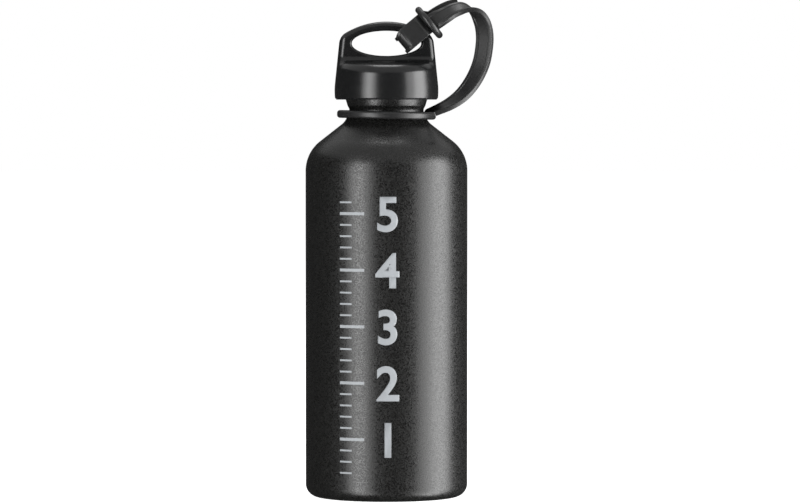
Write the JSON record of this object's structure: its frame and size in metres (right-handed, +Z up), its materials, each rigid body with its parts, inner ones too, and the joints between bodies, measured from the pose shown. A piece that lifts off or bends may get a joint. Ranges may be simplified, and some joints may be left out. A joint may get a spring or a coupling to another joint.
{
  "type": "camping fuel bottle",
  "caption": "Slim black aluminium fuel bottle with a press-and-turn screw cap, a hoop handle on the cap and a rubber tether looped from the neck to the handle.",
  "frame": {"origin": "on the bottle's axis, in the plane that it stands on", "axes": "+Z up the axis to the cap, +X to the side that the tether hangs on, -Y to the viewer"},
  "size_m": [0.0843, 0.073, 0.2242],
  "materials": {
    "bottle_coat": "fine-grained black powder coat over drawn aluminium",
    "cap_plastic": "satin black moulded plastic",
    "core_plastic": "matt black moulded plastic",
    "tether_rubber": "matt dark grey rubber",
    "gasket_rubber": "smooth black rubber",
    "spring_steel": "bright spring steel strip"
  },
  "bodies": {
    "bottle": {"bottle": "bottle_coat"},
    "tether": {"tether_ring": "tether_rubber", "tether_strap": "tether_rubber"},
    "core": {"cap_core": "core_plastic", "neck_gasket": "gasket_rubber", "press_spring": "spring_steel", "tether_loop": "tether_rubber", "tether_keeper": "tether_rubber"},
    "shell": {"cap_shell": "cap_plastic"}
  },
  "joints": [
    {"name": "cap_turn", "type": "hinge", "parent": "bottle", "child": "tether", "pos_m": [0, 0, 0.17], "axis": [0, 0, 1], "range_deg": [0, 1620]},
    {"name": "cap_lift", "type": "slide", "parent": "tether", "child": "core", "axis": [0, 0, 1], "range_m": [0, 0.0144], "deforming": ["tether_strap"]},
    {"name": "shell_press", "type": "slide", "parent": "core", "child": "shell", "axis": [0, 0, 1], "range_m": [-0.0012, 0], "stiffness_N_per_m": 5000, "springref_m": 0.001, "deforming": ["press_spring"]}
  ],
  "couplings": [
    {"joint": "cap_lift", "follows": "cap_turn", "m_per_rad": 0.00050929}
  ]
}
